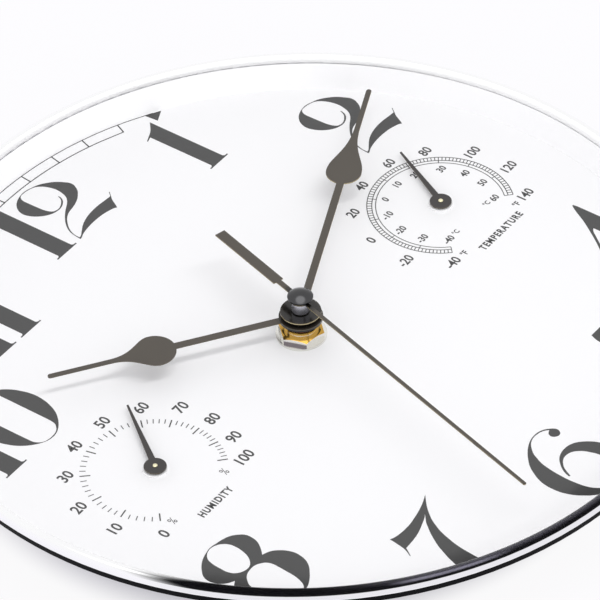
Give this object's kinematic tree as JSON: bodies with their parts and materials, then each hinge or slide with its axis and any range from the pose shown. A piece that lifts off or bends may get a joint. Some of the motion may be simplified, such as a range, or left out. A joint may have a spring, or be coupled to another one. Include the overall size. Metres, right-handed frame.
{
  "type": "thermometer hygrometer clock",
  "caption": "Round wall clock with hour, minute and second hands, a thermometer and a hygrometer in one dial, chrome lip and quartz movement.",
  "frame": {"origin": "middle of the flat back face, on the axis of the hands", "axes": "+Z out of the dial along the hand axis, +X to 3 o'clock, +Y to 12 o'clock"},
  "size_m": [0.254, 0.254, 0.0412],
  "materials": {
    "case_shell": "satin black",
    "back_cover": "matte black",
    "bezel_ring": "polished",
    "wall_ring": "satin white",
    "dial_plate": "white satin print",
    "white_collar": "white",
    "gauge_housing": "moulded",
    "movement_case": "moulded black",
    "setting_knob": "moulded white",
    "white_gear": "moulded natural",
    "steel": "plain",
    "dial_washer": "plated",
    "brass_nut": "machined",
    "brass_arbor": "turned",
    "bimetal": "rolled strip",
    "rubber_seal": "matte",
    "battery": "plain jacket",
    "contact": "nickel plated",
    "circuit_board": "green",
    "control_chip": "black resin",
    "quartz_crystal": "plain can",
    "coil_winding": "enamelled copper wire",
    "coil_bobbin": "moulded",
    "motor_iron": "rolled",
    "rotor_magnet": "sintered",
    "hour_hand": "semi-gloss brown-black",
    "hour_hand_boss": "gloss black",
    "minute_hand": "semi-gloss brown-black",
    "second_hand": "semi-gloss brown-black",
    "hub_black": "gloss black",
    "gauge_pointer": "semi-gloss black"
  },
  "bodies": {
    "case": {"case_shell": "case_shell", "bezel_ring": "bezel_ring", "wall_ring": "wall_ring", "dial_plate": "dial_plate", "back_cover": "back_cover", "back_cover_screws": "steel", "hanger_plate": "steel", "hanger_rivets": "steel", "movement_front_case": "movement_case", "movement_rear_case": "movement_case", "motion_stud": "steel", "train_studs": "steel", "battery": "battery", "battery_contact_positive": "contact", "battery_contact_negative": "contact", "stator": "motor_iron", "coil_core": "motor_iron", "coil_bobbin": "coil_bobbin", "coil_winding": "coil_winding", "circuit_board": "circuit_board", "control_chip": "control_chip", "quartz_crystal": "quartz_crystal", "threaded_bush": "brass_nut", "rubber_seal": "rubber_seal", "dial_washer": "dial_washer", "hex_nut": "brass_nut", "thermometer_housing": "gauge_housing", "thermometer_vent_cap": "gauge_housing", "thermometer_collar": "white_collar", "thermometer_coil": "bimetal", "thermometer_coil_anchor": "brass_arbor", "hygrometer_housing": "gauge_housing", "hygrometer_vent_cap": "gauge_housing", "hygrometer_collar": "white_collar", "hygrometer_coil": "bimetal", "hygrometer_coil_anchor": "brass_arbor"},
    "second_hand_assembly": {"second_arbor": "steel", "second_wheel": "white_gear", "second_hand": "second_hand", "second_hand_tube": "hub_black", "second_hand_cap": "hub_black"},
    "rotor": {"rotor_magnet": "rotor_magnet", "rotor_pinion": "white_gear"},
    "intermediate": {"intermediate_wheel": "white_gear"},
    "third": {"third_wheel": "white_gear"},
    "centre": {"centre_wheel": "white_gear"},
    "minute_hand_assembly": {"minute_pipe": "white_gear", "minute_hand": "minute_hand"},
    "motion": {"motion_wheel": "white_gear"},
    "hour_hand_assembly": {"hour_wheel": "white_gear", "hour_hand": "hour_hand", "hour_hand_boss": "hour_hand_boss"},
    "knob": {"setting_knob": "setting_knob"},
    "thermometer_needle": {"thermometer_arbor": "brass_arbor", "thermometer_pointer": "gauge_pointer"},
    "hygrometer_needle": {"hygrometer_arbor": "brass_arbor", "hygrometer_pointer": "gauge_pointer"}
  },
  "joints": [
    {"name": "second_hand_turn", "type": "hinge", "parent": "case", "child": "second_hand_assembly", "pos_m": [0, 0, 0.0097], "axis": [0, 0, 1], "continuous": true},
    {"name": "rotor_turn", "type": "hinge", "parent": "case", "child": "rotor", "pos_m": [-0.01031, 0.01438, 0.0094], "axis": [0, 0, 1], "continuous": true},
    {"name": "intermediate_turn", "type": "hinge", "parent": "case", "child": "intermediate", "pos_m": [-0.00866, 0.005, 0.0119], "axis": [0, 0, 1], "continuous": true},
    {"name": "third_turn", "type": "hinge", "parent": "case", "child": "third", "pos_m": [0.0051, 0.00883, 0.0135], "axis": [0, 0, 1], "continuous": true},
    {"name": "centre_turn", "type": "hinge", "parent": "case", "child": "centre", "pos_m": [0, 0, 0.0153], "axis": [0, 0, 1], "continuous": true},
    {"name": "minute_hand_turn", "type": "hinge", "parent": "case", "child": "minute_hand_assembly", "pos_m": [0, 0, 0.0169], "axis": [0, 0, 1], "continuous": true},
    {"name": "motion_turn", "type": "hinge", "parent": "case", "child": "motion", "pos_m": [0.00789, -0.00287, 0.0169], "axis": [0, 0, 1], "continuous": true},
    {"name": "hour_hand_turn", "type": "hinge", "parent": "case", "child": "hour_hand_assembly", "pos_m": [0, 0, 0.0185], "axis": [0, 0, 1], "continuous": true},
    {"name": "knob_turn", "type": "hinge", "parent": "case", "child": "knob", "pos_m": [0.01477, -0.00769, 0.005], "axis": [0, 0, 1], "continuous": true},
    {"name": "thermometer_needle_turn", "type": "hinge", "parent": "case", "child": "thermometer_needle", "pos_m": [0.075, 0, 0.0255], "axis": [0, 0, 1], "range_deg": [-106, 161], "stiffness_Nm_per_rad": 0.0002},
    {"name": "hygrometer_needle_turn", "type": "hinge", "parent": "case", "child": "hygrometer_needle", "pos_m": [-0.075, 0, 0.0255], "axis": [0, 0, 1], "range_deg": [-97.4, 167.7], "stiffness_Nm_per_rad": 0.0002}
  ],
  "couplings": [
    {"joint": "rotor_turn", "follows": "second_hand_turn", "ratio": 30},
    {"joint": "intermediate_turn", "follows": "second_hand_turn", "ratio": -4},
    {"joint": "third_turn", "follows": "second_hand_turn", "ratio": -0.13333},
    {"joint": "centre_turn", "follows": "second_hand_turn", "ratio": 0.016667},
    {"joint": "motion_turn", "follows": "minute_hand_turn", "ratio": -0.33333},
    {"joint": "hour_hand_turn", "follows": "minute_hand_turn", "ratio": 0.083333},
    {"joint": "knob_turn", "follows": "minute_hand_turn", "ratio": 1}
  ]
}
